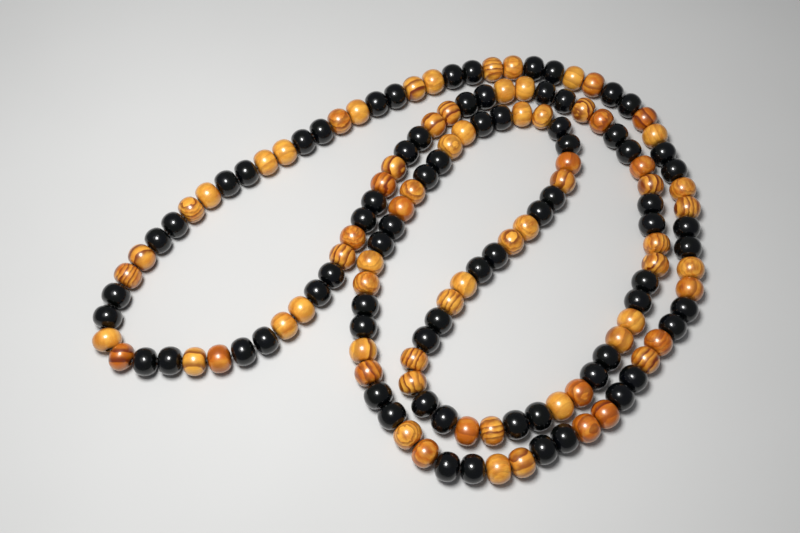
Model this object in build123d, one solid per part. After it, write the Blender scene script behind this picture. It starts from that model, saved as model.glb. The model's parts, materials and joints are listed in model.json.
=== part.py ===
from build123d import *

import math
import os

# Mala prayer beads: a closed strand of turned beads on a limp cord, lying flat on a surface in one
# folded heap with no crossings. Millimetres, +Z up. The origin is at the middle of the strand's
# footprint, on the surface that the beads rest on.

# ---- driving dimensions -------------------------------------------------------------------------
BEAD_COUNT = 144
BEAD_DIAMETER = 8.0
BEAD_GAP = 0.25          # room between neighbouring beads, which lets the strand bend
FLANK_RADIUS = 2.75      # curvature of a bead's side, seen from the side
HOLE_DIAMETER = 2.0
CORD_DIAMETER = 0.8
KNOT_DIAMETER = 1.7
KNOT_LENGTH = 2.4
KNOT_CLEARANCE = 0.02    # all round, between the cord and the knot's wraps

# Colours come in fours along the strand.
PATTERN = ["black", "wood", "wood", "black"]

# The cord's route over the surface, chosen by hand. Both ends lie in the same gap between two beads.
ROUTE = [
    (-32.4, 33.2), (-21, 42.5), (-8, 50.5), (6, 58.5), (21, 63.5), (35, 65.8), (47.5, 63), (57, 60),
    (67, 53.5), (73, 47), (75.5, 38), (80.5, 28.5), (83, 19), (81.5, 8), (82.5, -5), (79.5, -17),
    (70.5, -27), (62.5, -39.5), (54, -50.5), (41.5, -57), (31, -64.5), (21.5, -65.3), (11.5, -65.5),
    (1.5, -56.5), (-7, -46.5), (-11.5, -35), (-11.5, -22), (-12, -9), (-6.5, 2), (-1.5, 15), (7, 27),
    (13, 38.5), (25.5, 45.5), (36, 48), (43, 45), (47, 38), (47, 29.5), (45, 23), (41, 16), (32.5, 5),
    (23.5, -4.5), (14.5, -14.5), (8.5, -26.5), (2.5, -37), (3.5, -46), (10, -51.5), (19.5, -56.5),
    (30, -53.5), (41, -48.5), (50, -42), (57.5, -30.5), (64.5, -20.5), (67.5, -9.5), (73.5, 0),
    (71, 13), (72.5, 27), (65, 37), (58, 47), (46, 53.5), (33.5, 58), (20.5, 53), (8, 45),
    (-0.5, 34), (-7.5, 23), (-12, 10.5), (-17.5, -2), (-22, -14), (-30, -25.5), (-39.5, -36),
    (-52, -41.5), (-64.5, -42), (-71.5, -43), (-77, -42), (-81, -38.8), (-82.8, -33.8), (-82.6, -27.5),
    (-80.5, -20), (-76.5, -11), (-68.5, 0.5), (-60.5, 11), (-51, 18.5), (-42, 25.4), (-32.6, 33),
]

# The strand's loose end loop folds up along lines that join a gap on its lower side to a gap on its
# upper side. A gap is named by the number of the bead that follows it.
FOLD_GAPS = [(120, 144), (122, 141), (124, 138), (126, 136), (128, 133)]
FIRST_LOOP_BEAD = FOLD_GAPS[0][0]

# The rest of the strand, in stretches of ten beads.
STRETCH_BEADS = 10
STRETCHES = [
    "outer_upper_left", "outer_upper_right", "outer_right", "outer_lower_right", "outer_bottom",
    "middle_rise", "hairpin", "diagonal", "inner_bottom", "inner_right", "inner_top", "middle_fall",
]

# ---- derived dimensions -------------------------------------------------------------------------
BEAD_RADIUS = BEAD_DIAMETER / 2
CORD_HEIGHT = BEAD_RADIUS
ARC_SHARE = 0.45         # part of the shorter run that a corner's arc takes up


def corner_radii(points):
    """The arc at each corner is as large as its two runs allow."""
    radii = []
    for before, corner, after in zip(points, points[1:], points[2:]):
        run_in = Vector(*corner) - Vector(*before)
        run_out = Vector(*after) - Vector(*corner)
        half_turn = math.radians(run_in.get_angle(run_out)) / 2
        radii.append(ARC_SHARE * min(run_in.length, run_out.length) / math.tan(half_turn))
    return radii


def cord_path():
    """The cord's line: straight runs joined by tangent arcs, at the height of the bead holes."""
    radii = corner_radii(ROUTE)
    print("corner radii, mm:", [round(radius, 1) for radius in radii])
    print("smallest corner radius, mm:", round(min(radii), 2))
    return Pos(0, 0, CORD_HEIGHT) * FilletPolyline(*ROUTE, radius=radii)


def point_on(path, station):
    return path.position_at(station, position_mode=PositionMode.LENGTH)


def direction_on(path, station):
    return path.tangent_at(station, position_mode=PositionMode.LENGTH)


def bead_stations(path, pitch):
    """Distances along the cord of the bead centres, each a straight pitch from the last."""
    station = (pitch - BEAD_GAP) / 2
    stations = [station]
    while len(stations) < BEAD_COUNT:
        centre = point_on(path, station)
        station += pitch
        for _ in range(3):
            station += pitch - (point_on(path, min(station, path.length)) - centre).length
        stations.append(station)
    return stations


def fit_pitch(path):
    """The pitch at which the last bead ends where the cord does."""
    pitch = (path.length + BEAD_GAP) / BEAD_COUNT
    for _ in range(3):
        end = bead_stations(path, pitch)[-1] + (pitch - BEAD_GAP) / 2
        pitch += (path.length - end) / BEAD_COUNT
    return pitch


def bead(length):
    """A turned bead lying along X: two end caps and a rounder flank, with a hole along its axis."""
    half = length / 2
    flank_centre = BEAD_RADIUS - FLANK_RADIUS
    cap_radius = (half**2 + flank_centre**2 - FLANK_RADIUS**2) / (2 * (half - FLANK_RADIUS))
    cap_centre = half - cap_radius
    lean = math.atan2(flank_centre, -cap_centre)
    join = Vector(cap_centre + cap_radius * math.cos(lean), cap_radius * math.sin(lean))
    cap_middle = Vector(
        cap_centre + cap_radius * math.cos(lean / 2), cap_radius * math.sin(lean / 2)
    )
    cap = ThreePointArc((half, 0), cap_middle, join)
    flank = ThreePointArc(join, (0, BEAD_RADIUS), (-join.X, join.Y))
    outline = Wire([cap, flank, cap.mirror(Plane.YZ), Line((-half, 0), (half, 0))])
    body = revolve(Face(outline), Axis.X)
    return body - Cylinder(HOLE_DIAMETER / 2, 2 * length, rotation=(0, 90, 0))


def place(piece, path, station):
    """Turns a piece that lies along X to follow the cord, and moves it to its station."""
    centre = point_on(path, station)
    heading = direction_on(path, station)
    angle = math.degrees(math.atan2(heading.Y, heading.X))
    return Location((centre.X, centre.Y, centre.Z), (0, 0, angle)) * piece


def cord(path, start, end):
    """A plain tube along the part of the path between two distances."""
    line = path.trim(start / path.length, end / path.length)
    section = Plane(origin=line @ 0, z_dir=line % 0) * Circle(CORD_DIAMETER / 2)
    tube = sweep(section, path=line)
    expected = math.pi * CORD_DIAMETER**2 / 4 * line.length
    print(f"cord {line.length:.2f} mm long, volume {tube.volume:.2f} of {expected:.2f} mm3")
    return tube


def knot():
    """The knot's wraps round the cord, small enough to hide in a bead's hole."""
    outside = Cylinder(KNOT_DIAMETER / 2, KNOT_LENGTH, rotation=(0, 90, 0))
    outside = fillet(outside.edges(), KNOT_DIAMETER / 8)
    bore = CORD_DIAMETER / 2 + KNOT_CLEARANCE
    return outside - Cylinder(bore, 2 * KNOT_LENGTH, rotation=(0, 90, 0))


def gap_middle(path, stations, gap):
    """The middle of the gap before a bead. The last gap is the one that the cord's ends lie in."""
    if gap == BEAD_COUNT:
        return (path @ 0 + path @ 1) / 2
    return point_on(path, (stations[gap - 1] + stations[gap]) / 2)


def save(name, shape):
    shape.label = name
    export_step(shape, f"parts/{name}.step")


def save_beads(one_bead, path, stations):
    beads = [place(one_bead, path, station) for station in stations]
    colours = [PATTERN[number % len(PATTERN)] for number in range(BEAD_COUNT)]
    for number, stretch in enumerate(STRETCHES):
        members = range(number * STRETCH_BEADS, (number + 1) * STRETCH_BEADS)
        for colour in sorted(set(PATTERN)):
            group = [beads[member] for member in members if colours[member] == colour]
            save(f"{colour}_beads_{stretch}", Compound(group))
    for number, member in enumerate(range(FIRST_LOOP_BEAD, BEAD_COUNT), 1):
        save(f"{colours[member]}_bead_{number:02d}", beads[member])


def save_cord(path, stations, bead_length):
    """Every piece of cord ends flush with the beads at its two ends."""

    def piece(name, first_bead, next_gap):
        start = stations[first_bead] - bead_length / 2
        end = stations[next_gap - 1] + bead_length / 2
        save(name, cord(path, start, end))

    piece("cord_main", 0, FIRST_LOOP_BEAD)
    for number, (near, far) in enumerate(zip(FOLD_GAPS, FOLD_GAPS[1:]), 1):
        piece(f"cord_lower_{number}", near[0], far[0])
        piece(f"cord_upper_{number}", far[1], near[1])
    piece("cord_tip", *FOLD_GAPS[-1])
    save("cord_knot", place(knot(), path, stations[0]))


def main():
    os.makedirs("parts", exist_ok=True)
    path = cord_path()
    pitch = fit_pitch(path)
    stations = bead_stations(path, pitch)
    bead_length = pitch - BEAD_GAP
    print(f"path {path.length:.2f} mm, pitch {pitch:.4f} mm, bead length {bead_length:.4f} mm")
    save_beads(bead(bead_length), path, stations)
    save_cord(path, stations, bead_length)
    for lower_gap, upper_gap in FOLD_GAPS:
        print("fold line", gap_middle(path, stations, lower_gap), gap_middle(path, stations, upper_gap))


main()
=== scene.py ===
import json
import math
import random

import bpy
import numpy as np
from bpy.props import FloatProperty, FloatVectorProperty, IntProperty, PointerProperty
from mathutils import Matrix, Vector, noise

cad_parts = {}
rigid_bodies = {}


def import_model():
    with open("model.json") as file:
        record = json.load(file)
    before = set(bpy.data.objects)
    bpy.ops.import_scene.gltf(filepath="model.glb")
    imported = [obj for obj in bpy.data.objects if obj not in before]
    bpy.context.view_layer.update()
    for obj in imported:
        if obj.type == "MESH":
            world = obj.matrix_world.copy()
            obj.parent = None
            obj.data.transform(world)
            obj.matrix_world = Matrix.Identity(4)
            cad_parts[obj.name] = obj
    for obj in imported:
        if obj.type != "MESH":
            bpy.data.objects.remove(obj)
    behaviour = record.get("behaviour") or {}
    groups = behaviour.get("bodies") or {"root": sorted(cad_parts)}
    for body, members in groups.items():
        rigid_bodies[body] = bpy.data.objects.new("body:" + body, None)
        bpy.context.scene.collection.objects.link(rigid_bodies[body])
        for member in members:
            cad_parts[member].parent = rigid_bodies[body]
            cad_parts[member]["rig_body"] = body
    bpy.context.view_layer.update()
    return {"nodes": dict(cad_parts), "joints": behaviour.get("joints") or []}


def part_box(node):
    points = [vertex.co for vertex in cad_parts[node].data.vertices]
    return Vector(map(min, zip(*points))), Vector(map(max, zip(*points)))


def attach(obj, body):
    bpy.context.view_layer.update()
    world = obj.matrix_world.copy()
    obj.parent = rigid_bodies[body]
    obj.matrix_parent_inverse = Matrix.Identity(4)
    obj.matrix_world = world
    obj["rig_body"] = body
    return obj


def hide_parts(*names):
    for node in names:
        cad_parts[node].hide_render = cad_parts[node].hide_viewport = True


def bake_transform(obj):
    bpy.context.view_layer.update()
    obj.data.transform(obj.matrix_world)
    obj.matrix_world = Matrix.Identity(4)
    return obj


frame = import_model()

bl_info = {
    "name": "Mala Prayer Beads",
    "version": (1, 0, 0),
    "blender": (4, 5, 0),
    "location": "View3D > Sidebar > Mala",
    "description": "Builds a closed strand of varnished wood and black lacquer beads on its cord",
    "category": "Add Mesh",
}

# Metres, +Z up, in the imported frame: the origin is at the middle of the strand's footprint.

MM = 0.001

# ---- the strand ---------------------------------------------------------------------------------
# Colours come in fours along the strand, and the beads before the end loop in stretches of ten.
PATTERN = ["black", "wood", "wood", "black"]
STRETCHES = [
    "outer_upper_left", "outer_upper_right", "outer_right", "outer_lower_right", "outer_bottom",
    "middle_rise", "hairpin", "diagonal", "inner_bottom", "inner_right", "inner_top", "middle_fall",
]
STRETCH_BEADS = 10
FIRST_LOOP_BEAD = len(STRETCHES) * STRETCH_BEADS
LOOP_BEADS = 24
BEAD_COUNT = FIRST_LOOP_BEAD + LOOP_BEADS

# Each fold line joins a gap on the loop's lower side to one on its upper side. A gap is named by
# the number of the bead that follows it.
FOLD_GAPS = [(120, 144), (122, 141), (124, 138), (126, 136), (128, 133)]

# The cord's route over the surface. Both ends lie in the same gap between two beads.
ROUTE = [
    (-0.0324, 0.0332), (-0.021, 0.0425), (-0.008, 0.0505), (0.006, 0.0585), (0.021, 0.0635),
    (0.035, 0.0658), (0.0475, 0.063), (0.057, 0.06), (0.067, 0.0535), (0.073, 0.047), (0.0755, 0.038),
    (0.0805, 0.0285), (0.083, 0.019), (0.0815, 0.008), (0.0825, -0.005), (0.0795, -0.017),
    (0.0705, -0.027), (0.0625, -0.0395), (0.054, -0.0505), (0.0415, -0.057), (0.031, -0.0645),
    (0.0215, -0.0653), (0.0115, -0.0655), (0.0015, -0.0565), (-0.007, -0.0465), (-0.0115, -0.035),
    (-0.0115, -0.022), (-0.012, -0.009), (-0.0065, 0.002), (-0.0015, 0.015), (0.007, 0.027),
    (0.013, 0.0385), (0.0255, 0.0455), (0.036, 0.048), (0.043, 0.045), (0.047, 0.038), (0.047, 0.0295),
    (0.045, 0.023), (0.041, 0.016), (0.0325, 0.005), (0.0235, -0.0045), (0.0145, -0.0145),
    (0.0085, -0.0265), (0.0025, -0.037), (0.0035, -0.046), (0.01, -0.0515), (0.0195, -0.0565),
    (0.03, -0.0535), (0.041, -0.0485), (0.05, -0.042), (0.0575, -0.0305), (0.0645, -0.0205),
    (0.0675, -0.0095), (0.0735, 0.0), (0.071, 0.013), (0.0725, 0.027), (0.065, 0.037), (0.058, 0.047),
    (0.046, 0.0535), (0.0335, 0.058), (0.0205, 0.053), (0.008, 0.045), (-0.0005, 0.034),
    (-0.0075, 0.023), (-0.012, 0.0105), (-0.0175, -0.002), (-0.022, -0.014), (-0.03, -0.0255),
    (-0.0395, -0.036), (-0.052, -0.0415), (-0.0645, -0.042), (-0.0715, -0.043), (-0.077, -0.042),
    (-0.081, -0.0388), (-0.0828, -0.0338), (-0.0826, -0.0275), (-0.0805, -0.02), (-0.0765, -0.011),
    (-0.0685, 0.0005), (-0.0605, 0.011), (-0.051, 0.0185), (-0.042, 0.0254), (-0.0326, 0.033),
]

SPLINE_STEPS = 16           # points read per control point of the cord's spline
UPWARDS = (0.0, 0.0, 1.0)

# ---- cord ---------------------------------------------------------------------------------------
CORD_STRANDS = 3
CORD_POINTS_PER_STRAND = 4
CORD_STEP = 0.3 * MM
END_BULGE = 3               # how many times the cord's radius holds the bulge of its cut end
BEND_REACH = 1.0 * MM       # how far a flexing stretch of cord runs each side of a fold line

KNOT_WRAPS = 4.5
KNOT_WRAP_RADIUS = 0.6 * MM
KNOT_THREAD_RADIUS = 0.2 * MM
KNOT_WRAP_PITCH = 0.43 * MM
KNOT_STEPS_PER_WRAP = 26

# ---- beads, numbered from 0 along the route -----------------------------------------------------
PLACE_TOLERANCE = 0.3 * MM  # how far a bead may be from one pitch beyond the last
BEAD_SIDES = 48
SHELL_STEPS = 17            # points from the mouth of the hole to the bead's widest ring
WALL_STEPS = 5              # rings of points inside the hole
RIM_SHARES = (1.0, 0.75, 0.5, 0.25)
RIM_DEPTH = 0.35 * MM       # how far into the hole the rounding of its rim ends
RIM_SWELL = 0.125           # how far the rounding bulges along the hole, as a share of its width
EDGE_SHARPNESS = 18         # of the edge between a bead's round side and its flatter ends
FLATTEST_CROWN = 16 * MM
ROUNDEST_CROWN = 3.6 * MM
FOLD_CLEARANCE = 0.13 * MM  # extra room beside a fold line
STRAIGHT = 0.002            # the half bend in radians below which neighbours count as in line

# The slow hollows in a bead: two noises, each with its scale per mm and its share of the depth.
SLOW_SCALE = 0.28
SLOW_SHARE = 0.65
QUICK_SCALE = 0.7
QUICK_SHARE = 0.35
DIMPLED_DENT = 2.2          # how many times deeper the hollows of a dimpled bead are
COAT_SHIFT = 50             # the most that a bead's patterns are shifted along each axis

# Wood beads cut so that their growth rings face up as loops, show as fine stripes along the cord,
# or show as a few broad bands. Those cut from darker heartwood, and those nearly free of figure.
LOOPED = {1, 10, 21, 25, 41, 42, 49, 50, 54, 57, 62, 69, 70, 117, 137}
STRIPED = {9, 22, 30, 45, 74, 77, 78, 82, 93, 94, 97, 102, 109, 114, 118, 133}
BANDED = {5, 17, 33, 37, 46, 66, 89, 110, 113, 125, 126, 129, 134}
HEARTWOOD = {14, 17, 26, 29, 33, 34, 53, 65, 81, 86, 98, 101, 114, 125, 129}
PLAIN = {2, 6, 13, 18, 38, 58, 61, 73, 85, 90, 105, 106, 121, 122, 130, 138, 141, 142}
# Black beads whose lacquer dried uneven.
DIMPLED = {7, 31, 52, 72, 91, 103, 116, 135}

# How far the beads of a sort may be turned about the hole, either way, in radians, and how far
# apart their rings are, in mm.
LOOPED_TURN = 0.35
LOOPED_SPACING = (0.8, 1.45)
STRIPED_TURN = 0.3
STRIPED_SPACING = (1.15, 1.9)
BANDED_TURN = 0.5
BANDED_SPACING = (2.4, 3.4)
OTHER_SPACING = (1.4, 2.8)

# The pith of the plank, as seen from a bead: along the grain, away from it and to its side, in mm.
PITH_ALONG = 40
PITH_AWAY = (9, 30)
PITH_ASIDE = 2
GRAIN_SKEW = 0.12                 # typical angle in radians between the grain and the hole

# Tone runs from 0, pale, to 1, amber. Contrast is how strongly the rings show.
COMMON_TONE = 0.36
TONE_SPREAD = 0.14
TONE_LIMITS = (0.05, 0.7)
PLAIN_TONE = (0.05, 0.3)
HEARTWOOD_TONE = (0.75, 1.0)
COMMON_CONTRAST = (0.5, 0.9)
PLAIN_CONTRAST = (0.2, 0.45)
BOLD_CONTRAST = (0.95, 1.35)      # striped and banded beads
LOOPED_CONTRAST = (0.5, 1.0)
SMOOTH_DIMPLES = (0.2, 0.45)      # depth of the dimples in black lacquer, where it dried even
DEEP_DIMPLES = 1.1

# ---- stage --------------------------------------------------------------------------------------
SENSOR_WIDTH = 36.0               # mm
CLIP_START = 0.01
FLOOR_HALF_WIDTH = 8.0
FLOOR_ROUGHNESS = 0.75
KEY_UP = 0.095                    # from the camera
KEY_LEFT = 0.05
KEY_WIDTH = 0.10
KEY_HEIGHT = 0.075
SOFTBOX_PLACE = (-0.13, -0.05, 0.6)
SOFTBOX_WIDTH = 0.45
ROOM_COLOUR = (0.93, 0.95, 1.0, 1.0)

# ---- where the beads are ------------------------------------------------------------------------


def bead_node(number):
    """The CAD node that holds a bead."""
    colour = PATTERN[number % len(PATTERN)]
    if number >= FIRST_LOOP_BEAD:
        return f"{colour}_bead_{number - FIRST_LOOP_BEAD + 1:02d}"
    return f"{colour}_beads_{STRETCHES[number // STRETCH_BEADS]}"


def bead_piece_name(number):
    """The name of a bead's own visible piece."""
    colour = PATTERN[number % len(PATTERN)]
    if number >= FIRST_LOOP_BEAD:
        return f"end_loop_{colour}_bead_{number - FIRST_LOOP_BEAD + 1:02d}"
    return f"{STRETCHES[number // STRETCH_BEADS]}_{colour}_bead_{number % STRETCH_BEADS + 1:02d}"


def mesh_points(mesh):
    """A mesh's vertices as rows of three."""
    flat = np.empty(len(mesh.vertices) * 3, np.float32)
    mesh.vertices.foreach_get("co", flat)
    return flat.reshape(-1, 3).astype(float)


class CordLine:
    """The cord's smooth centre line, with distances along it."""

    def __init__(self, points):
        self.points = np.array(points, float)
        steps = np.linalg.norm(np.diff(self.points, axis=0), axis=1)
        self.stations = np.concatenate(([0.0], np.cumsum(steps)))
        self.length = float(self.stations[-1])

    def at(self, stations):
        columns = [np.interp(stations, self.stations, self.points[:, axis]) for axis in range(3)]
        return np.stack(columns, axis=-1)

    def nearest(self, place):
        return float(self.stations[np.argmin(np.linalg.norm(self.points - place, axis=1))])

    def between(self, start, end, step):
        count = max(2, int(round((end - start) / step)) + 1)
        return self.at(np.linspace(start, end, count))


def read_cord_line():
    """One NURBS spline with the route's points as its control points, read back as a fine line."""
    low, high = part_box(bead_node(FIRST_LOOP_BEAD))
    curve = bpy.data.curves.new("cord_line", "CURVE")
    curve.dimensions = "3D"
    curve.resolution_u = SPLINE_STEPS
    spline = curve.splines.new("NURBS")
    spline.points.add(len(ROUTE) - 1)
    for point, (x, y) in zip(spline.points, ROUTE):
        point.co = (x, y, (low.z + high.z) / 2, 1)
    spline.order_u = 3
    spline.use_endpoint_u = True
    holder = bpy.data.objects.new("cord_line", curve)
    mesh = bpy.data.meshes.new_from_object(holder)
    points = mesh_points(mesh)
    bpy.data.meshes.remove(mesh)
    bpy.data.objects.remove(holder)
    bpy.data.curves.remove(curve)
    return CordLine(points)


def find_bead_centres(line):
    """The middle of every CAD bead, nodes that hold several beads taken apart along the line."""
    guesses = line.at((np.arange(BEAD_COUNT) + 0.5) * line.length / BEAD_COUNT)
    members = {}
    for number in range(BEAD_COUNT):
        members.setdefault(bead_node(number), []).append(number)
    centres = np.zeros((BEAD_COUNT, 3))
    for node, numbers in members.items():
        points = mesh_points(frame["nodes"][node].data)
        away = np.linalg.norm(points[:, None] - guesses[numbers][None], axis=2)
        owner = np.argmin(away, axis=1)
        for place, number in enumerate(numbers):
            own = points[owner == place]
            centres[number] = (own.min(axis=0) + own.max(axis=0)) / 2
    return centres


CORD = read_cord_line()
CENTRES = find_bead_centres(CORD)
STEPS = np.linalg.norm(np.diff(CENTRES, axis=0), axis=1)
PITCH = float(np.median(STEPS))
if np.abs(STEPS - PITCH).max() > PLACE_TOLERANCE:
    raise RuntimeError("the beads found in the frame are not one pitch apart")
STATIONS = [CORD.nearest(centre) for centre in CENTRES]
FOLD_ENDS = {gap % BEAD_COUNT for pair in FOLD_GAPS for gap in pair}
WIDEST_FOLD = math.radians(max(joint["range_deg"][1] for joint in frame["joints"]
                               if joint["name"].startswith("fold")))


def bead_heading(number):
    """The direction of a bead's hole: its joint's axis, or the line between its neighbours."""
    body = frame["nodes"][bead_node(number)]["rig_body"]
    for joint in frame["joints"]:
        if joint["child"] == body and joint.get("continuous"):
            return Vector(joint["axis"]).normalized()
    before = CENTRES[(number - 1) % BEAD_COUNT]
    after = CENTRES[(number + 1) % BEAD_COUNT]
    return Vector(after - before).normalized()


# ---- shader building ----------------------------------------------------------------------------


def add_node(tree, kind, inputs=(), **settings):
    """One node with its settings. An input takes a constant, or a socket to join to."""
    node = tree.nodes.new(kind)
    for name, value in settings.items():
        setattr(node, name, value)
    for key, value in dict(inputs).items():
        if isinstance(value, bpy.types.NodeSocket):
            tree.links.new(value, node.inputs[key])
        else:
            node.inputs[key].default_value = value
    return node


def math_node(tree, operation, *values, clamp=False):
    node = add_node(tree, "ShaderNodeMath", enumerate(values), operation=operation, use_clamp=clamp)
    return node.outputs[0]


def vector_math(tree, operation, *values):
    node = add_node(tree, "ShaderNodeVectorMath", enumerate(values), operation=operation)
    return node.outputs["Value" if operation == "LENGTH" else "Vector"]


# The Mix node's sockets for colours. Their names repeat, so they are picked by number.
MIX_FACTOR, MIX_A, MIX_B, MIX_COLOUR = 0, 6, 7, 2


def mix_colour(tree, factor, first, second, blend="MIX"):
    values = {MIX_FACTOR: factor, MIX_A: first, MIX_B: second}
    node = add_node(tree, "ShaderNodeMix", values, data_type="RGBA", blend_type=blend)
    return node.outputs[MIX_COLOUR]


def remap(tree, value, across, to=(0.0, 1.0), kind="LINEAR"):
    """A value carried from one range to another, and held at the ends."""
    values = {"Value": value, "From Min": across[0], "From Max": across[1],
              "To Min": to[0], "To Max": to[1]}
    node = add_node(tree, "ShaderNodeMapRange", values, interpolation_type=kind)
    return node.outputs["Result"]


def noise_value(tree, place, scale, detail=2.0, roughness=0.5):
    values = {"Vector": place, "Scale": scale, "Detail": detail, "Roughness": roughness}
    return add_node(tree, "ShaderNodeTexNoise", values).outputs["Fac"]


def opaque(colour):
    return (*colour[:3], 1.0)


def new_group(name, inputs, outputs):
    """An empty shader node group with named sockets, and its input and output nodes."""
    group = bpy.data.node_groups.new(name, "ShaderNodeTree")
    for label, (kind, value) in inputs.items():
        socket = group.interface.new_socket(name=label, in_out="INPUT", socket_type=kind)
        if value is not None:
            socket.default_value = value
    for label, kind in outputs.items():
        group.interface.new_socket(name=label, in_out="OUTPUT", socket_type=kind)
    given = group.nodes.new("NodeGroupInput").outputs
    out = group.nodes.new("NodeGroupOutput").inputs
    return group, given, out


VECTOR_SOCKET = ("NodeSocketVector", None)
ACROSS = (0.0, 1.0, 1.0)    # keeps the part of a place that is square to X


def number_socket(value):
    return ("NodeSocketFloat", value)


def growth_rings_group():
    """Late wood of a plank: a mask of uneven rings round a pith that lies along X."""
    group, given, out = new_group(
        "growth_rings",
        {"Plank Place": VECTOR_SOCKET, "Unevenness": number_socket(0.6)},
        {"Late Wood": "NodeSocketFloat"},
    )
    along_grain = vector_math(group, "MULTIPLY", given["Plank Place"], (0.35, 1.0, 1.0))
    warp = noise_value(group, along_grain, scale=0.9, detail=2.0)
    warp = math_node(group, "MULTIPLY", math_node(group, "SUBTRACT", warp, 0.5), given["Unevenness"])
    from_pith = vector_math(group, "LENGTH", vector_math(group, "MULTIPLY", given["Plank Place"], ACROSS))
    ring = math_node(group, "ADD", from_pith, warp)
    season = math_node(group, "FRACT", ring)
    darkening = remap(group, season, across=(0.12, 0.86), kind="SMOOTHSTEP")
    winter = remap(group, season, across=(0.9, 1.0), to=(1.0, 0.0), kind="SMOOTHSTEP")
    late = math_node(group, "MULTIPLY", math_node(group, "POWER", darkening, 1.5), winter)
    year = {"W": math_node(group, "FLOOR", ring)}
    good_year = add_node(group, "ShaderNodeTexWhiteNoise", year, noise_dimensions="1D")
    strength = remap(group, good_year.outputs["Value"], across=(0.0, 1.0), to=(0.45, 1.0))
    group.links.new(math_node(group, "MULTIPLY", late, strength), out["Late Wood"])
    return group


def lacquer_ripple_group():
    """The slow waves and small dimples of a dried coat of lacquer, as a height."""
    group, given, out = new_group(
        "lacquer_ripple",
        {"Coat Place": VECTOR_SOCKET, "Wave Scale": number_socket(0.4), "Dimples": number_socket(0.3)},
        {"Height": "NodeSocketFloat"},
    )
    waves = noise_value(group, given["Coat Place"], scale=given["Wave Scale"], detail=1.0)
    fine = noise_value(group, given["Coat Place"], scale=1.6, detail=3.0, roughness=0.45)
    dimples = math_node(group, "MULTIPLY", fine, given["Dimples"])
    group.links.new(math_node(group, "ADD", waves, dimples), out["Height"])
    return group


def rim_wear_group():
    """How much of the finish has worn off, from the sharp rim of the hole outwards."""
    group, given, out = new_group(
        "rim_wear",
        {"Bead Place": VECTOR_SOCKET, "Rim Radius": number_socket(1.05), "Reach": number_socket(0.6)},
        {"Mask": "NodeSocketFloat"},
    )
    radius = vector_math(group, "LENGTH", vector_math(group, "MULTIPLY", given["Bead Place"], ACROSS))
    ragged = noise_value(group, given["Bead Place"], scale=2.4, detail=3.0)
    ragged = remap(group, ragged, across=(0.2, 0.8), to=(-0.25, 0.25))
    past_rim = math_node(group, "SUBTRACT", math_node(group, "ADD", radius, ragged), given["Rim Radius"])
    share = math_node(group, "DIVIDE", past_rim, given["Reach"])
    mask = remap(group, share, across=(0.0, 1.0), to=(1.0, 0.0), kind="SMOOTHSTEP")
    group.links.new(mask, out["Mask"])
    return group


def handling_haze_group():
    """Roughness of a finish that fingers have polished in places and hazed in others."""
    group, given, out = new_group(
        "handling_haze",
        {"Coat Place": VECTOR_SOCKET, "Polished": number_socket(0.2), "Hazed": number_socket(0.4)},
        {"Roughness": "NodeSocketFloat"},
    )
    smudges = noise_value(group, given["Coat Place"], scale=0.55, detail=3.0, roughness=0.6)
    roughness = remap(group, smudges, across=(0.3, 0.75), to=(given["Polished"], given["Hazed"]))
    group.links.new(roughness, out["Roughness"])
    return group


SHARED_GROUPS = {
    "growth_rings": growth_rings_group,
    "lacquer_ripple": lacquer_ripple_group,
    "rim_wear": rim_wear_group,
    "handling_haze": handling_haze_group,
}


def use_group(tree, name, **inputs):
    """A shared effect, built the first time that it is asked for."""
    group = bpy.data.node_groups.get(name) or SHARED_GROUPS[name]()
    node = tree.nodes.new("ShaderNodeGroup")
    node.node_tree = group
    for key, value in inputs.items():
        socket = node.inputs[key.replace("_", " ").title()]
        if isinstance(value, bpy.types.NodeSocket):
            tree.links.new(value, socket)
        else:
            socket.default_value = value
    return node.outputs[0]


def attribute(tree, name):
    """A vector that is stored at each point of the mesh."""
    node = add_node(tree, "ShaderNodeAttribute", attribute_type="GEOMETRY", attribute_name=name)
    return node.outputs["Vector"]


def new_material(name):
    """A material with its Principled shader."""
    material = bpy.data.materials.new(name)
    material.use_nodes = True
    tree = material.node_tree
    return material, tree, tree.nodes["Principled BSDF"]


def bump(tree, shader, height, distance, strength):
    values = {"Height": height, "Distance": distance, "Strength": strength}
    tree.links.new(add_node(tree, "ShaderNodeBump", values).outputs["Normal"], shader.inputs["Normal"])


def set_constants(shader, constants):
    """Values of the Principled shader, by socket name, that are the same all over a piece."""
    for name, value in constants.items():
        shader.inputs[name].default_value = value


def separate(tree, vector):
    return add_node(tree, "ShaderNodeSeparateXYZ", {"Vector": vector}).outputs


# Each bead's mesh holds four vectors per point: bead_place, the place in the bead in mm, its hole
# along X; coat_place, the same shifted by an amount of the bead's own, for patterns; plank_place,
# the place in its plank, in ring spacings; and bead_finish, its tone and contrast.


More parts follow.
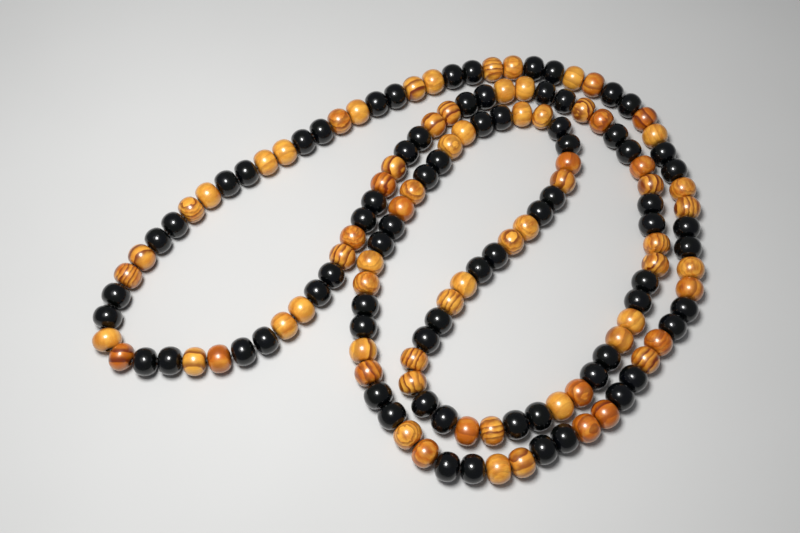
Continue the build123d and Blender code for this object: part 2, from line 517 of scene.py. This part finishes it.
def wood_material(beads):
    """Honey-coloured turned wood with reddish growth rings, under gloss varnish."""
    material, tree, shader = new_material("varnished_wood")
    place = attribute(tree, "bead_place")
    coat = attribute(tree, "coat_place")
    plank = attribute(tree, "plank_place")
    finish = separate(tree, attribute(tree, "bead_finish"))
    cloud = vector_math(tree, "MULTIPLY", plank, (0.5, 1.0, 1.0))
    cloud = noise_value(tree, cloud, scale=0.8, detail=3.0, roughness=0.6)
    cloud = remap(tree, cloud, across=(0.3, 0.7), to=(-0.5, 0.5))
    # Painted shade: the base colour turns darker and more amber towards a bead's sides as seen, so this
    # part of the tone depends on the view.
    facing = add_node(tree, "ShaderNodeLayerWeight", {"Blend": 0.45}).outputs["Facing"]
    slant = remap(tree, facing, across=(0.3, 0.95), to=(0.0, 0.5))
    tone = math_node(tree, "ADD", finish["X"], math_node(tree, "ADD", cloud, slant), clamp=True)
    colour = mix_colour(tree, tone, opaque(beads.wood_pale), opaque(beads.wood_amber))
    late = use_group(tree, "growth_rings", plank_place=plank, unevenness=1.1)
    late = math_node(tree, "MULTIPLY", late, finish["Y"], clamp=True)
    colour = mix_colour(tree, late, colour, opaque(beads.wood_ring))
    fibres = vector_math(tree, "MULTIPLY", coat, (0.45, 4.0, 4.0))
    fibres = noise_value(tree, fibres, scale=1.0, detail=4.0, roughness=0.65)
    shade = remap(tree, fibres, across=(0.3, 0.75), to=(0.84, 1.08))
    colour = mix_colour(tree, 1.0, colour, shade, "MULTIPLY")
    worn = use_group(tree, "rim_wear", bead_place=place, rim_radius=1.1, reach=1.2)
    # The wood beads' ends darken towards the hole, within about 1.2 mm of its rim.
    end_darkening = math_node(tree, "MULTIPLY", worn, 0.7)
    colour = mix_colour(tree, end_darkening, colour, opaque(beads.dark_rim_wood))
    tree.links.new(colour, shader.inputs["Base Color"])
    haze = use_group(tree, "handling_haze", coat_place=coat, polished=0.28, hazed=0.42)
    tree.links.new(haze, shader.inputs["Roughness"])
    varnish_left = remap(tree, worn, across=(0.0, 1.0), to=(0.85, 0.3))
    tree.links.new(varnish_left, shader.inputs["Coat Weight"])
    set_constants(shader, {
        "Specular IOR Level": 0.65,
        "Coat Roughness": 0.21,
        "Coat IOR": 1.45,
        "Coat Tint": opaque(beads.varnish),
    })
    ripple = use_group(tree, "lacquer_ripple", coat_place=coat, wave_scale=0.45, dimples=0.25)
    height = math_node(tree, "ADD", ripple, math_node(tree, "MULTIPLY", fibres, 0.12))
    bump(tree, shader, height, distance=0.06 * MM, strength=0.6)
    return material


def black_material(beads):
    """Turned wood under thick black gloss lacquer, worn to the wood at the rims of the hole."""
    material, tree, shader = new_material("black_lacquer")
    place = attribute(tree, "bead_place")
    coat = attribute(tree, "coat_place")
    plank = attribute(tree, "plank_place")
    finish = separate(tree, attribute(tree, "bead_finish"))
    tint = remap(tree, noise_value(tree, plank, scale=0.5, detail=2.0), across=(0.35, 0.65))
    colour = mix_colour(tree, tint, opaque(beads.black_cool), opaque(beads.black_green))
    worn = use_group(tree, "rim_wear", bead_place=place, rim_radius=1.0, reach=0.12)
    colour = mix_colour(tree, worn, colour, opaque(beads.dark_rim_wood))
    tree.links.new(colour, shader.inputs["Base Color"])
    haze = use_group(tree, "handling_haze", coat_place=coat, polished=0.2, hazed=0.34)
    tree.links.new(haze, shader.inputs["Roughness"])
    lacquer_left = remap(tree, worn, across=(0.0, 1.0), to=(0.8, 0.3))
    tree.links.new(lacquer_left, shader.inputs["Coat Weight"])
    set_constants(shader, {
        "Specular IOR Level": 0.2,
        "Coat Roughness": 0.07,
        "Coat IOR": 1.42,
    })
    ripple = use_group(tree, "lacquer_ripple", coat_place=coat, wave_scale=0.5, dimples=finish["Y"])
    grain = use_group(tree, "growth_rings", plank_place=plank, unevenness=0.7)
    height = math_node(tree, "ADD", ripple, math_node(tree, "MULTIPLY", grain, 0.12))
    bump(tree, shader, height, distance=0.1 * MM, strength=0.8)
    return material


def cord_material(cord):
    """Black twisted nylon thread."""
    material, tree, shader = new_material("twisted_nylon")
    place = attribute(tree, "thread_place")
    fibres = vector_math(tree, "MULTIPLY", place, (1.2, 9.0, 9.0))
    fibres = noise_value(tree, fibres, scale=1.0, detail=3.0, roughness=0.6)
    # Painted shade and highlight: the colour follows the fibre bump, darker in the valleys and lighter on
    # the raised fibres.
    light = [share * cord.highlight for share in cord.colour]
    raised = remap(tree, fibres, across=(0.35, 0.7))
    colour = mix_colour(tree, raised, opaque(cord.colour), opaque(light))
    tree.links.new(colour, shader.inputs["Base Color"])
    roughness = remap(tree, fibres, across=(0.3, 0.7), to=(0.42, 0.62))
    tree.links.new(roughness, shader.inputs["Roughness"])
    set_constants(shader, {"Sheen Weight": 0.25})
    bump(tree, shader, fibres, distance=0.03 * MM, strength=0.8)
    return material


# ---- mesh building ------------------------------------------------------------------------------


def new_piece(name, points, faces, material):
    """A smooth-shaded mesh object in the scene."""
    mesh = bpy.data.meshes.new(name)
    mesh.from_pydata(points, [], faces)
    mesh.polygons.foreach_set("use_smooth", [True] * len(mesh.polygons))
    mesh.materials.append(material)
    piece = bpy.data.objects.new(name, mesh)
    bpy.context.scene.collection.objects.link(piece)
    return piece


def store_points(mesh, name, values):
    """Keeps one vector per point in a mesh."""
    layer = mesh.attributes.new(name, "FLOAT_VECTOR", "POINT")
    layer.data.foreach_set("vector", np.asarray(values, np.float32).ravel())


def grid_faces(rows, columns, close_rows):
    """Quads over rings of points that close on themselves, and perhaps from last ring to first."""
    faces = []
    for row in range(rows if close_rows else rows - 1):
        after = (row + 1) % rows
        for column in range(columns):
            beside = (column + 1) % columns
            faces.append((row * columns + column, row * columns + beside,
                          after * columns + beside, after * columns + column))
    return faces


def beside_fold(number):
    """Whether a fold line runs through the gap at either end of a bead."""
    return number % BEAD_COUNT in FOLD_ENDS or (number + 1) % BEAD_COUNT in FOLD_ENDS


def end_crown(number, half_length, mouth):
    """The radius of a bead's slightly domed ends, round enough to clear its neighbours.

    A bead may not cross the plane halfway to its neighbour. The place that comes nearest to it is
    the mouth of the hole, or a ring further out when the dome is flat.
    """
    crown = FLATTEST_CROWN
    for gap in (number, number + 1):
        bend = bead_heading((gap - 1) % BEAD_COUNT).angle(bead_heading(gap % BEAD_COUNT))
        fold = WIDEST_FOLD if gap % BEAD_COUNT in FOLD_ENDS else 0.0
        half_bend = math.hypot(bend, fold) / 2
        if half_bend < STRAIGHT:
            continue
        sine, cosine = math.sin(half_bend), math.cos(half_bend)
        spare = PITCH / 2 * math.cos(fold / 2) - half_length * cosine
        limit = 2 * spare * cosine / sine**2
        if limit * sine / cosine < mouth:
            limit = mouth**2 * cosine / (2 * (mouth * sine - spare))
        crown = min(crown, limit)
    return max(crown, ROUNDEST_CROWN)


def bead_outline(half_length, radius, crown, hole_radius, rim):
    """A bead's section, from one mouth of the hole over its outside and back through the hole."""

    def outside(turn):
        """The outline at a turn from the hole's axis: where the side and the dome of the end blend."""
        sine, cosine = math.sin(turn), math.cos(turn)
        root = math.sqrt(cosine**2 + 2 * half_length * sine**2 / crown)
        end = (root - cosine) * crown / sine**2
        reach = (end**-EDGE_SHARPNESS + radius**-EDGE_SHARPNESS) ** (-1 / EDGE_SHARPNESS)
        return reach * cosine, reach * sine

    mouth = math.atan2(hole_radius + rim, half_length)
    shell = [outside(turn) for turn in np.linspace(mouth, math.pi / 2, SHELL_STEPS)]
    shell += [(-x, r) for x, r in reversed(shell[:-1])]
    outer_x = shell[0][0]
    inner_x = outer_x - RIM_DEPTH
    lip = (shell[0], (outer_x + rim * RIM_SWELL, hole_radius), (inner_x, hole_radius))
    rounded = []
    for share in RIM_SHARES:
        weights = ((1 - share) ** 2, 2 * share * (1 - share), share**2)
        rounded.append(tuple(sum(weight * point[axis] for weight, point in zip(weights, lip))
                             for axis in range(2)))
    wall = [(x, hole_radius) for x in np.linspace(-inner_x, inner_x, WALL_STEPS + 2)[1:-1]]
    return rounded + shell + [(-x, r) for x, r in reversed(rounded)] + wall


def turned_bead(number, beads, material):
    """One turned bead with its hole along X, slightly uneven in its own way, placed on the cord."""
    draw = random.Random(beads.seed + number)
    low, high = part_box(bead_node(FIRST_LOOP_BEAD))
    radius = (high.z - low.z) / 2 * (1 - draw.random() * beads.size_spread)
    gap = beads.gap + (FOLD_CLEARANCE if beside_fold(number) else 0.0)
    half_length = (PITCH - gap) / 2 * (1 - draw.random() * beads.length_spread)
    crown = end_crown(number, half_length, (beads.hole_width + beads.rim_round) / 2)
    outline = np.array(
        bead_outline(half_length, radius, crown, beads.hole_width / 2, beads.rim_round))
    turns = np.arange(BEAD_SIDES) * 2 * math.pi / BEAD_SIDES
    around = np.stack([np.cos(turns), np.sin(turns)], axis=-1)
    points = np.zeros((len(outline), BEAD_SIDES, 3))
    points[..., 0] = outline[:, None, 0]
    points[..., 1:] = outline[:, None, None, 1] * around[None]
    points = points.reshape(-1, 3)
    dent = beads.dent_depth * (DIMPLED_DENT if number in DIMPLED else 1.0)
    shift = Vector([draw.uniform(-COAT_SHIFT, COAT_SHIFT) for _ in range(3)])
    for index, point in enumerate(points):
        away = math.hypot(point[1], point[2])
        if away < beads.hole_width / 2 + beads.rim_round:
            continue
        place = Vector(point) / MM
        wave = (SLOW_SHARE * noise.noise(place * SLOW_SCALE + shift)
                + QUICK_SHARE * noise.noise(place * QUICK_SCALE - shift))
        points[index] *= 1 - dent / radius * (0.5 + 0.5 * wave)
    faces = grid_faces(len(outline), BEAD_SIDES, True)
    piece = new_piece(bead_piece_name(number), points.tolist(), faces, material)
    store_points(piece.data, "bead_place", points / MM)
    store_points(piece.data, "coat_place", points / MM + np.array(shift))
    store_finish(piece, number, points, draw)
    place_bead(piece, number, draw, beads, radius)
    node = bead_node(number)
    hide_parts(node)
    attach(piece, frame["nodes"][node]["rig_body"])


def plank_turn(number, draw):
    """How the plank's rings lie in a bead: the turn about the hole, and the rings' spacing in mm."""
    if number in LOOPED:
        return math.pi / 2 + draw.uniform(-LOOPED_TURN, LOOPED_TURN), draw.uniform(*LOOPED_SPACING)
    if number in STRIPED:
        return draw.uniform(-STRIPED_TURN, STRIPED_TURN), draw.uniform(*STRIPED_SPACING)
    if number in BANDED:
        return draw.uniform(-BANDED_TURN, BANDED_TURN), draw.uniform(*BANDED_SPACING)
    return draw.uniform(0, 2 * math.pi), draw.uniform(*OTHER_SPACING)


def store_finish(piece, number, points, draw):
    """Gives a bead its place in a plank, its tone, and how strongly its rings or dimples show."""
    turn, spacing = plank_turn(number, draw)
    grain = Matrix.Rotation(turn, 3, "X") @ Matrix.Rotation(draw.gauss(0, GRAIN_SKEW), 3, "Z")
    pith = Vector((draw.uniform(-PITH_ALONG, PITH_ALONG), draw.uniform(*PITH_AWAY),
                   draw.uniform(-PITH_ASIDE, PITH_ASIDE)))
    plank = (points / MM) @ np.array(grain) + np.array(pith)
    store_points(piece.data, "plank_place", plank / spacing)
    palest, darkest = TONE_LIMITS
    tone = min(max(draw.gauss(COMMON_TONE, TONE_SPREAD), palest), darkest)
    contrast = draw.uniform(*COMMON_CONTRAST)
    if number in PLAIN:
        tone, contrast = draw.uniform(*PLAIN_TONE), draw.uniform(*PLAIN_CONTRAST)
    if number in HEARTWOOD:
        tone = draw.uniform(*HEARTWOOD_TONE)
    if number in STRIPED | BANDED:
        contrast = draw.uniform(*BOLD_CONTRAST)
    if number in LOOPED:
        contrast = draw.uniform(*LOOPED_CONTRAST)
    if PATTERN[number % len(PATTERN)] == "black":
        contrast = DEEP_DIMPLES if number in DIMPLED else draw.uniform(*SMOOTH_DIMPLES)
    store_points(piece.data, "bead_finish", np.tile((tone, contrast, 0.0), (len(points), 1)))


def place_bead(piece, number, draw, beads, radius):
    """Strings a bead. Those of the main strand rest on the floor, most of them slightly askew."""
    centre = Vector(CENTRES[number])
    heading = bead_heading(number)
    lean = Matrix.Identity(4)
    if number < FIRST_LOOP_BEAD:
        centre.z = radius
    if number < FIRST_LOOP_BEAD and not beside_fold(number):
        lean = (Matrix.Rotation(draw.gauss(0, beads.lean), 4, "Z")
                @ Matrix.Rotation(draw.gauss(0, beads.lean / 2), 4, "Y"))
    heading_turn = Matrix.Rotation(math.atan2(heading.y, heading.x), 4, "Z")
    piece.matrix_world = Matrix.Translation(centre) @ heading_turn @ lean


def tube(path, ups, radius, ridges, ridge_depth, lay):
    """Points, faces and thread places of a twisted thread with rounded ends along a path."""
    path = np.asarray(path, float)
    along = np.gradient(path, axis=0)
    along /= np.linalg.norm(along, axis=1)[:, None]
    sides = np.cross(ups, along)
    sides /= np.linalg.norm(sides, axis=1)[:, None]
    rises = np.cross(along, sides)
    steps = np.linalg.norm(np.diff(path, axis=0), axis=1)
    stations = np.concatenate(([0.0], np.cumsum(steps)))
    columns = ridges * CORD_POINTS_PER_STRAND
    turns = np.arange(columns) * 2 * math.pi / columns
    widths = radius * (1 - ridge_depth * (0.5 - 0.5 * np.cos(ridges * turns)))
    twist = turns[None] + 2 * math.pi * stations[:, None] / lay
    offsets = (np.cos(twist)[..., None] * sides[:, None] + np.sin(twist)[..., None] * rises[:, None])
    points = path[:, None] + offsets * widths[None, :, None]
    rows = len(path)
    places = np.zeros((rows, columns, 3))
    places[..., 0] = stations[:, None] / MM
    places[..., 1] = radius / MM * np.cos(turns)
    places[..., 2] = radius / MM * np.sin(turns)
    points = points.reshape(-1, 3).tolist() + [list(path[0] - along[0] * radius / END_BULGE),
                                               list(path[-1] + along[-1] * radius / END_BULGE)]
    places = places.reshape(-1, 3).tolist() + [[0, 0, 0], [stations[-1] / MM, 0, 0]]
    faces = grid_faces(rows, columns, False)
    first, last = len(points) - 2, len(points) - 1
    for column in range(columns):
        beside = (column + 1) % columns
        faces.append((column, first, beside))
        faces.append(((rows - 1) * columns + beside, last, (rows - 1) * columns + column))
    return points, faces, places


def thread(name, path, cord, ups=UPWARDS, radius=None, lay=None):
    """A piece of the twisted cord along a path."""
    path = np.asarray(path, float)
    ups = np.broadcast_to(np.asarray(ups, float), path.shape)
    points, faces, places = tube(path, ups, radius or cord.thickness / 2, CORD_STRANDS,
                                 cord.strand_depth, lay or cord.lay)
    material = bpy.data.materials.get("twisted_nylon") or cord_material(cord)
    piece = new_piece(name, points, faces, material)
    store_points(piece.data, "thread_place", places)
    return piece


def gap_station(gap):
    """Where on the cord a gap is. The last gap is where the route ends."""
    if gap == BEAD_COUNT:
        return CORD.length
    return (STATIONS[gap - 1] + STATIONS[gap]) / 2


def cord_section(node, start, end, cord):
    """A length of cord that moves as one with the beads on it."""
    path = CORD.between(start, end, CORD_STEP)
    piece = thread(f"threaded_{node}", path, cord)
    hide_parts(node)
    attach(piece, frame["nodes"][node]["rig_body"])
    return piece, path


def cord_bend(name, gap, cord):
    """The short length of cord in a fold's gap, attached to no body. The last gap joins the route's ends.
    """
    middle = gap_station(gap)
    if gap == BEAD_COUNT:
        path = np.concatenate([CORD.between(middle - BEND_REACH, middle - CORD_STEP, CORD_STEP),
                               CORD.between(CORD_STEP, BEND_REACH, CORD_STEP)])
    else:
        path = CORD.between(middle - BEND_REACH, middle + BEND_REACH, CORD_STEP / 2)
    piece = thread(name, path, cord)
    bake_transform(piece)


def closing_knot(cord):
    """Turns of thread wrapped tight round the cord, drawn into the hole of the first bead."""
    heading = bead_heading(0)
    across = Vector(UPWARDS).cross(heading).normalized()
    middle = Vector(CENTRES[0])
    path = []
    ups = []
    for step in range(int(KNOT_WRAPS * KNOT_STEPS_PER_WRAP) + 1):
        wraps = step / KNOT_STEPS_PER_WRAP
        turn = 2 * math.pi * wraps
        outward = across * math.cos(turn) + Vector(UPWARDS) * math.sin(turn)
        along = heading * (wraps - KNOT_WRAPS / 2) * KNOT_WRAP_PITCH
        path.append(middle + along + outward * KNOT_WRAP_RADIUS)
        ups.append(outward)
    piece = thread("closing_knot", path, cord, ups, KNOT_THREAD_RADIUS, cord.lay / 2)
    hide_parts("cord_knot")
    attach(piece, frame["nodes"]["cord_knot"]["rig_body"])
    return piece


# ---- settings -----------------------------------------------------------------------------------


class MalaBeadSettings(bpy.types.PropertyGroup):
    """Sizes and finishes of the beads."""

    seed: IntProperty(name="Seed", description="Picks how each bead differs from the next", default=7)
    gap: FloatProperty(
        name="Gap", description="Room between one bead and the next",
        default=0.1 * MM, unit="LENGTH", precision=5,
    )
    hole_width: FloatProperty(
        name="Hole", description="Diameter of the hole through a bead",
        default=2.0 * MM, unit="LENGTH", precision=5,
    )
    rim_round: FloatProperty(
        name="Rim", description="How far the rim of the hole is rounded over",
        default=0.3 * MM, unit="LENGTH", precision=5,
    )
    size_spread: FloatProperty(
        name="Size spread", description="Largest share by which a bead is turned thinner",
        default=0.012, subtype="FACTOR", min=0.0, max=0.1,
    )
    length_spread: FloatProperty(
        name="Length spread", description="Largest share by which a bead is turned shorter",
        default=0.012, subtype="FACTOR", min=0.0, max=0.1,
    )
    dent_depth: FloatProperty(
        name="Unevenness", description="Depth of the slow hollows left by turning and sanding",
        default=0.05 * MM, unit="LENGTH", precision=5,
    )
    lean: FloatProperty(
        name="Lean", description="How far a bead typically sits askew on the cord",
        default=math.radians(1.0), unit="ROTATION",
    )
    wood_pale: FloatVectorProperty(
        name="Pale wood", description="Early wood under clear varnish",
        default=(0.88, 0.465, 0.07), subtype="COLOR", min=0.0, max=1.0,
    )
    wood_amber: FloatVectorProperty(
        name="Amber wood", description="Darker orange heartwood",
        default=(0.55, 0.145, 0.006), subtype="COLOR", min=0.0, max=1.0,
    )
    wood_ring: FloatVectorProperty(
        name="Ring", description="Reddish late wood of the growth rings",
        default=(0.17, 0.023, 0.0015), subtype="COLOR", min=0.0, max=1.0,
    )
    varnish: FloatVectorProperty(
        name="Varnish", description="Tint that the varnish gives where it is seen at a slant",
        default=(1.0, 0.9, 0.72), subtype="COLOR", min=0.0, max=1.0,
    )
    # The darker wood that the black beads' worn rims show, and that the wood beads' ends turn towards
    # round the hole.
    dark_rim_wood: FloatVectorProperty(
        name="Bare rim", description="Bare darkened wood at the rims of the hole",
        default=(0.11, 0.035, 0.01), subtype="COLOR", min=0.0, max=1.0,
    )
    black_cool: FloatVectorProperty(
        name="Cool black", description="Lacquer with a faint blue cast",
        default=(0.0012, 0.0017, 0.0030), subtype="COLOR", min=0.0, max=1.0,
    )
    black_green: FloatVectorProperty(
        name="Green black", description="Lacquer with a faint green cast",
        default=(0.0016, 0.0022, 0.0016), subtype="COLOR", min=0.0, max=1.0,
    )


class MalaCordSettings(bpy.types.PropertyGroup):
    """Size and finish of the cord."""

    thickness: FloatProperty(
        name="Thickness", description="Diameter of the cord", default=0.8 * MM, unit="LENGTH", precision=5,
    )
    lay: FloatProperty(
        name="Lay", description="Length of one full twist of the strands",
        default=3.0 * MM, unit="LENGTH", precision=5,
    )
    strand_depth: FloatProperty(
        name="Strand depth", description="Depth of the valleys between strands, as a share of the radius",
        default=0.22, subtype="FACTOR", min=0.0, max=0.5,
    )
    # Colour of the nylon, as painted in the shaded valleys between fibres.
    colour: FloatVectorProperty(
        name="Colour", description="Nylon in the valleys between fibres",
        default=(0.012, 0.011, 0.010), subtype="COLOR", min=0.0, max=1.0,
    )
    # Painted highlight: how much lighter the raised fibres are painted than the shaded valleys.
    highlight: FloatProperty(
        name="Fibre contrast", description="How much lighter the fibres are than the valleys", default=4.0,
    )


class MalaStageSettings(bpy.types.PropertyGroup):
    """Camera, lights and floor."""

    camera_place: FloatVectorProperty(
        name="Camera", description="Where the camera stands",
        default=(-0.00253, -0.1121, 0.2311), subtype="TRANSLATION", precision=4,
    )
    camera_elevation: FloatProperty(
        name="Elevation", description="How steeply the camera looks down",
        default=math.radians(65.53), unit="ROTATION",
    )
    camera_roll: FloatProperty(
        name="Roll", description="Turn of the camera about its line of sight",
        default=math.radians(4.18), unit="ROTATION",
    )
    lens: FloatProperty(
        name="Lens", description="Focal length in millimetres, on a sensor 36 mm wide", default=38.84,
    )
    floor_colour: FloatVectorProperty(
        name="Floor", description="Colour of the floor", default=(0.56, 0.56, 0.55),
        subtype="COLOR", min=0.0, max=1.0,
    )
    key_power: FloatProperty(
        name="Key", description="Watts of the small lamp above the camera", default=0.91, unit="POWER",
    )
    fill_power: FloatProperty(
        name="Fill", description="Watts of the large softbox overhead", default=0.32, unit="POWER",
    )
    world_strength: FloatProperty(
        name="Surroundings", description="Brightness of the pale room around", default=0.15,
    )


# ---- operators ----------------------------------------------------------------------------------


def area_lamp(name, place, width, height, power):
    """A soft lamp that faces the origin."""
    lamp = bpy.data.lights.new(name, "AREA")
    lamp.shape = "ELLIPSE"
    lamp.size = width
    lamp.size_y = height
    lamp.energy = power
    holder = bpy.data.objects.new(name, lamp)
    bpy.context.scene.collection.objects.link(holder)
    holder.location = place
    holder.rotation_euler = (-Vector(place)).to_track_quat("-Z", "Y").to_euler()


class MALA_OT_set_stage(bpy.types.Operator):
    """Add the camera, a pale floor and soft studio light"""

    bl_idname = "mala.set_stage"
    bl_label = "Set Stage"

    def execute(self, context):
        stage = context.scene.mala_stage
        self.add_camera(context, stage)
        self.add_floor(stage)
        self.add_lights(context, stage)
        return {"FINISHED"}

    def add_camera(self, context, stage):
        tilt, roll = stage.camera_elevation, stage.camera_roll
        level = Vector((1, 0, 0))
        upright = Vector((0, math.sin(tilt), math.cos(tilt)))
        back = Vector((0, -math.cos(tilt), math.sin(tilt)))
        right = level * math.cos(roll) + upright * math.sin(roll)
        up = upright * math.cos(roll) - level * math.sin(roll)
        data = bpy.data.cameras.new("camera")
        data.lens = stage.lens
        data.sensor_width = SENSOR_WIDTH
        data.clip_start = CLIP_START
        camera = bpy.data.objects.new("camera", data)
        context.scene.collection.objects.link(camera)
        turn = Matrix((right, up, back)).transposed().to_4x4()
        camera.matrix_world = Matrix.Translation(stage.camera_place) @ turn
        context.scene.camera = camera
        key = Vector(stage.camera_place) + up * KEY_UP - right * KEY_LEFT
        area_lamp("key_lamp", key, KEY_WIDTH, KEY_HEIGHT, stage.key_power)

    def add_floor(self, stage):
        material, tree, shader = new_material("pale_floor")
        place = add_node(tree, "ShaderNodeTexCoord").outputs["Object"]
        mottle = noise_value(tree, place, scale=9.0, detail=3.0)
        mottle = remap(tree, mottle, across=(0.3, 0.7), to=(0.97, 1.03))
        colour = mix_colour(tree, 1.0, opaque(stage.floor_colour), mottle, "MULTIPLY")
        tree.links.new(colour, shader.inputs["Base Color"])
        set_constants(shader, {"Roughness": FLOOR_ROUGHNESS})
        half = FLOOR_HALF_WIDTH
        corners = [(-half, -half, 0), (half, -half, 0), (half, half, 0), (-half, half, 0)]
        new_piece("floor", corners, [(0, 1, 2, 3)], material)

    def add_lights(self, context, stage):
        area_lamp("softbox", SOFTBOX_PLACE, SOFTBOX_WIDTH, SOFTBOX_WIDTH, stage.fill_power)
        world = bpy.data.worlds.new("pale_room")
        world.use_nodes = True
        background = world.node_tree.nodes["Background"]
        background.inputs["Color"].default_value = ROOM_COLOUR
        background.inputs["Strength"].default_value = stage.world_strength
        context.scene.world = world
        context.scene.view_settings.view_transform = "Standard"


class MALA_OT_string_cord(bpy.types.Operator):
    """Run the cord through the beads, tie its knot and lay short lengths of it in the fold gaps"""

    bl_idname = "mala.string_cord"
    bl_label = "String Cord"

    def execute(self, context):
        cord = context.scene.mala_cord
        knot = closing_knot(cord)
        first_fold = gap_station(FIRST_LOOP_BEAD)
        main, path = cord_section("cord_main", BEND_REACH, first_fold - BEND_REACH, cord)
        for number, (near, far) in enumerate(zip(FOLD_GAPS, FOLD_GAPS[1:]), 1):
            lower = (gap_station(near[0]) + BEND_REACH, gap_station(far[0]) - BEND_REACH)
            upper = (gap_station(far[1]) + BEND_REACH, gap_station(near[1]) - BEND_REACH)
            cord_section(f"cord_lower_{number}", *lower, cord)
            cord_section(f"cord_upper_{number}", *upper, cord)
        tip_start, tip_end = (gap_station(gap) for gap in FOLD_GAPS[-1])
        cord_section("cord_tip", tip_start + BEND_REACH, tip_end - BEND_REACH, cord)
        for number, (lower_gap, upper_gap) in enumerate(FOLD_GAPS, 1):
            cord_bend(f"cord_bend_lower_{number}", lower_gap, cord)
            cord_bend(f"cord_bend_upper_{number}", upper_gap, cord)
        return {"FINISHED"}


def turn_beads(colour, material, beads):
    """Turns every bead of one colour."""
    for number in range(BEAD_COUNT):
        if PATTERN[number % len(PATTERN)] == colour:
            turned_bead(number, beads, material)


class MALA_OT_turn_wood_beads(bpy.types.Operator):
    """Turn and varnish the wood beads"""

    bl_idname = "mala.turn_wood_beads"
    bl_label = "Turn Wood Beads"

    def execute(self, context):
        beads = context.scene.mala_beads
        turn_beads("wood", wood_material(beads), beads)
        return {"FINISHED"}


class MALA_OT_turn_black_beads(bpy.types.Operator):
    """Turn and lacquer the black beads"""

    bl_idname = "mala.turn_black_beads"
    bl_label = "Turn Black Beads"

    def execute(self, context):
        beads = context.scene.mala_beads
        turn_beads("black", black_material(beads), beads)
        return {"FINISHED"}


class MALA_PT_strand(bpy.types.Panel):
    """The steps that make the strand"""

    bl_label = "Mala Prayer Beads"
    bl_idname = "MALA_PT_strand"
    bl_space_type = "VIEW_3D"
    bl_region_type = "UI"
    bl_category = "Mala"

    def draw(self, context):
        for operator in OPERATORS:
            self.layout.operator(operator.bl_idname)
        for settings in SETTINGS:
            box = self.layout.box()
            group = getattr(context.scene, settings)
            for name in group.__annotations__:
                box.prop(group, name)


OPERATORS = [
    MALA_OT_set_stage,
    MALA_OT_string_cord,
    MALA_OT_turn_wood_beads,
    MALA_OT_turn_black_beads,
]
SETTINGS = {
    "mala_beads": MalaBeadSettings,
    "mala_cord": MalaCordSettings,
    "mala_stage": MalaStageSettings,
}


def register():
    for name, group in SETTINGS.items():
        bpy.utils.register_class(group)
        setattr(bpy.types.Scene, name, PointerProperty(type=group))
    for shown in [*OPERATORS, MALA_PT_strand]:
        bpy.utils.register_class(shown)


def unregister():
    for shown in reversed([*OPERATORS, MALA_PT_strand]):
        bpy.utils.unregister_class(shown)
    for name, group in SETTINGS.items():
        delattr(bpy.types.Scene, name)
        bpy.utils.unregister_class(group)


def main():
    register()
    bpy.ops.mala.set_stage()
    bpy.ops.mala.string_cord()
    bpy.ops.mala.turn_wood_beads()
    bpy.ops.mala.turn_black_beads()
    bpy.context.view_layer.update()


if __name__ == "__main__":
    main()
